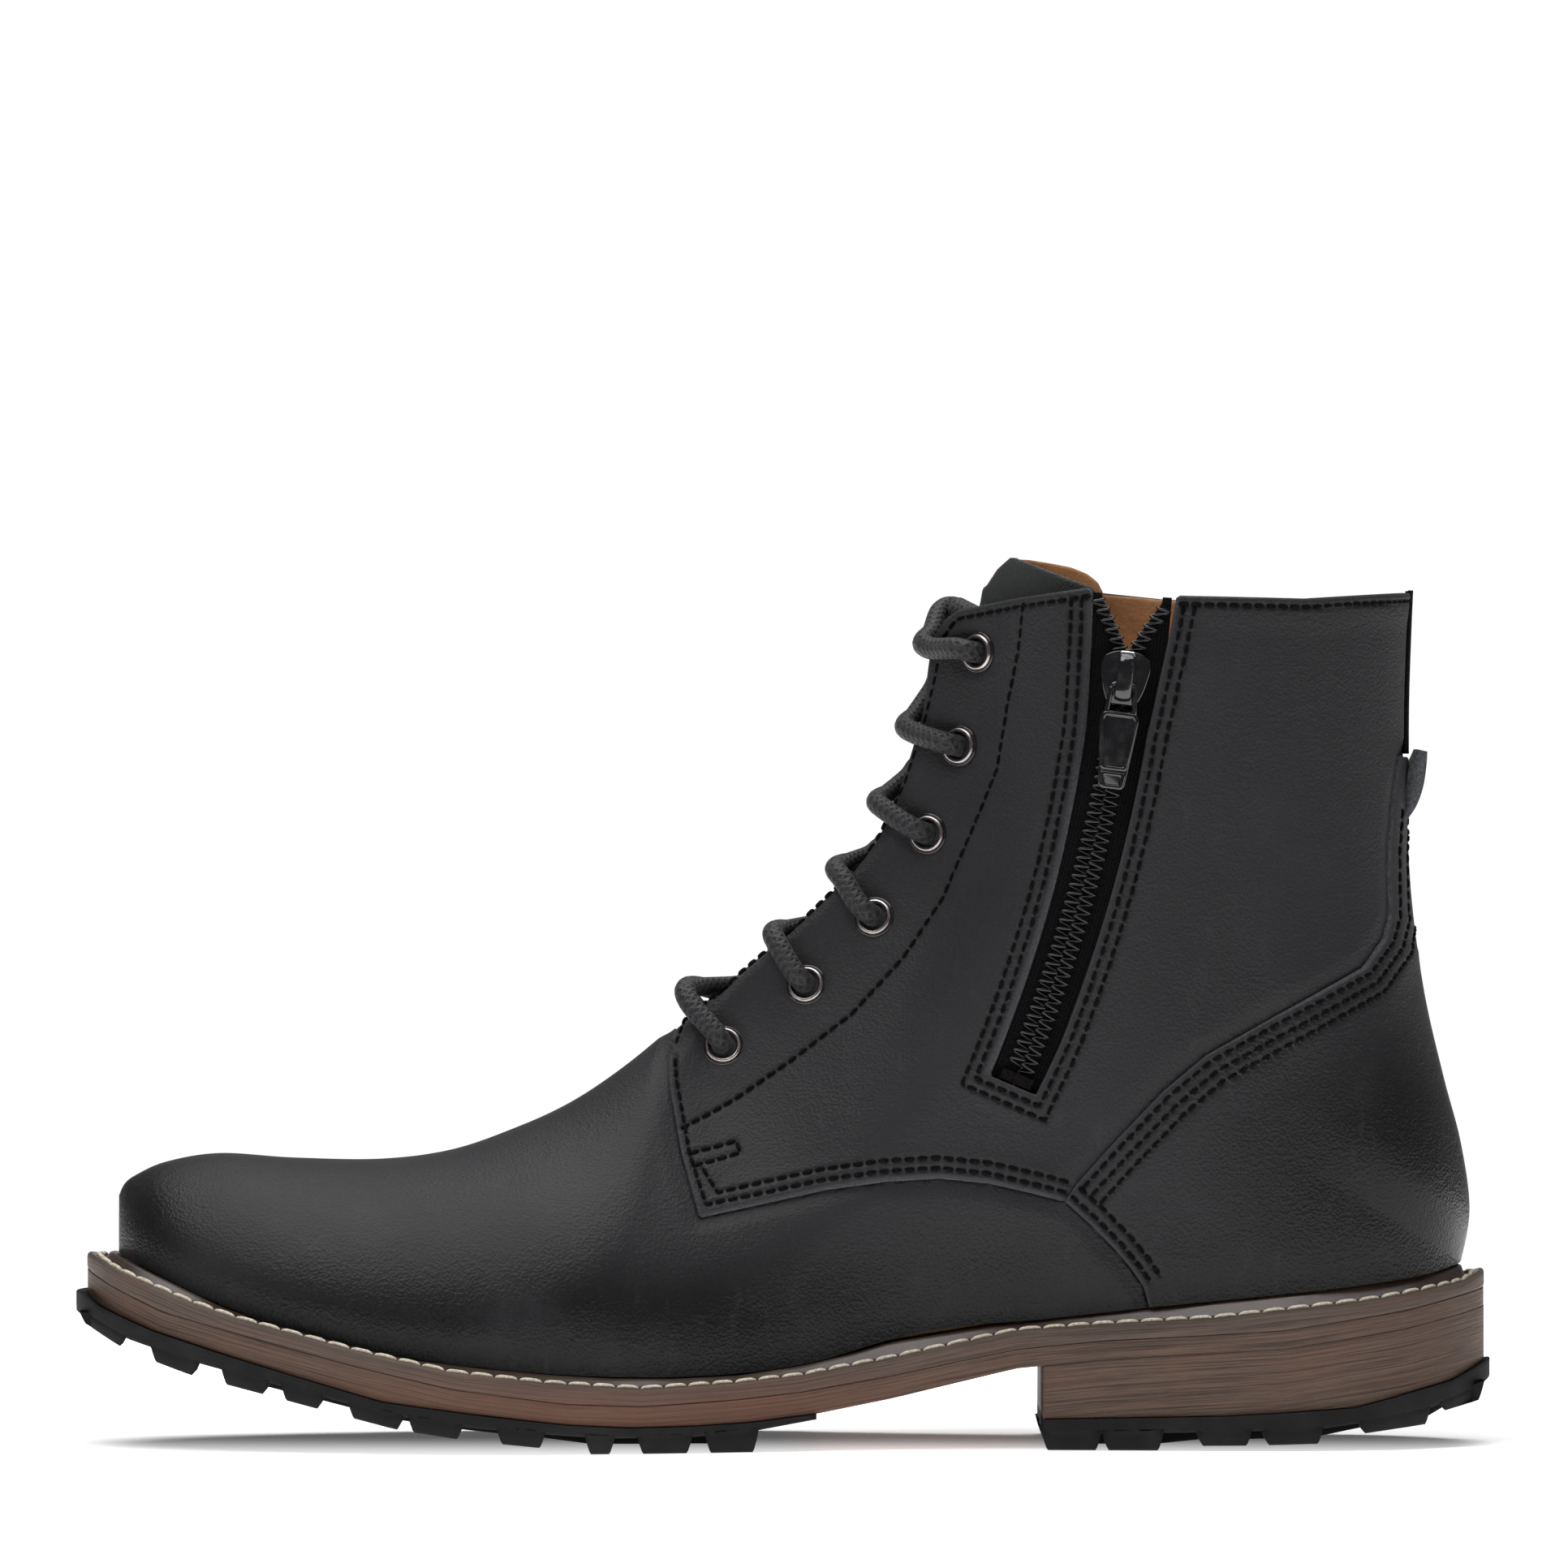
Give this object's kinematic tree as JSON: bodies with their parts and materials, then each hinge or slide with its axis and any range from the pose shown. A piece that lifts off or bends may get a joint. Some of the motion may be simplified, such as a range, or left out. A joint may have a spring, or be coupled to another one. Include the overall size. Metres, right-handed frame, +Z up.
{
  "type": "lace-up ankle boot",
  "caption": "Lace-up leather ankle boot with a side zip, stitched welt, stacked heel and lugged rubber sole.",
  "frame": {"origin": "centre of the boot's bounding box in plan, on the ground plane under the lugs", "axes": "+X from the toe towards the heel, +Y towards the outer (lateral) side, +Z up"},
  "size_m": [0.308, 0.1137, 0.1929],
  "materials": {
    "upper_leather": "waxed full-grain leather, charcoal, fine grain",
    "lining_leather": "tan lining leather, matt",
    "sole_leather": "stacked dark brown sole leather, matt edge",
    "welt_leather": "dark brown welt leather, waxed top",
    "sole_rubber": "matt black rubber",
    "steel": "plain steel",
    "cork": "pressed cork",
    "board": "fibre board",
    "stiffener": "thermoplastic stiffener",
    "tape": "woven black tape",
    "zip_coil": "black nylon coil",
    "zip_metal": "glossy black lacquer",
    "eyelet_metal": "gunmetal plated brass",
    "lace_cord": "waxed black braid",
    "aglet_plastic": "black film",
    "welt_thread": "waxed ivory thread"
  },
  "bodies": {
    "boot": {"outsole_forefoot": "sole_rubber", "heel_lift": "sole_rubber", "heel_nail_1": "steel", "heel_nail_2": "steel", "heel_nail_3": "steel", "heel_nail_4": "steel", "heel_nail_5": "steel", "midsole": "sole_leather", "heel_stack": "sole_leather", "welt": "welt_leather", "shank": "steel", "cork_filler": "cork", "insole_board": "board", "footbed": "lining_leather", "welt_stitching": "welt_thread", "vamp": "upper_leather", "quarter_medial": "upper_leather", "quarter_lateral": "upper_leather", "counter_cover": "upper_leather", "back_tape": "tape", "toe_puff": "stiffener", "heel_counter": "stiffener", "vamp_lining": "lining_leather", "quarter_lining_medial": "lining_leather", "quarter_lining_lateral": "lining_leather", "tongue": "upper_leather", "tongue_lining": "lining_leather", "zip_tape_front": "tape", "zip_coil_front": "zip_coil", "zip_tape_rear": "tape", "zip_coil_rear": "zip_coil", "zip_bottom_stop": "zip_metal", "eyelet_medial_1": "eyelet_metal", "eyelet_medial_2": "eyelet_metal", "eyelet_medial_3": "eyelet_metal", "eyelet_medial_4": "eyelet_metal", "eyelet_medial_5": "eyelet_metal", "eyelet_medial_6": "eyelet_metal", "eyelet_lateral_1": "eyelet_metal", "eyelet_lateral_2": "eyelet_metal", "eyelet_lateral_3": "eyelet_metal", "eyelet_lateral_4": "eyelet_metal", "eyelet_lateral_5": "eyelet_metal", "eyelet_lateral_6": "eyelet_metal", "lace": "lace_cord", "aglet_1": "aglet_plastic", "aglet_2": "aglet_plastic"},
    "slider": {"zip_slider": "zip_metal"},
    "pull": {"zip_pull": "zip_metal"}
  },
  "joints": [
    {"name": "zip_slide", "type": "hinge", "parent": "boot", "child": "slider", "pos_m": [-0.254, -0.03866, 0.208], "axis": [0, 0.9987, 0.0519], "range_deg": [0, 13.5]},
    {"name": "pull_swing", "type": "hinge", "parent": "slider", "child": "pull", "pos_m": [0.0732, -0.04032, 0.16485], "axis": [-0.9921, -0.0065, 0.125], "range_deg": [0, 150]}
  ]
}
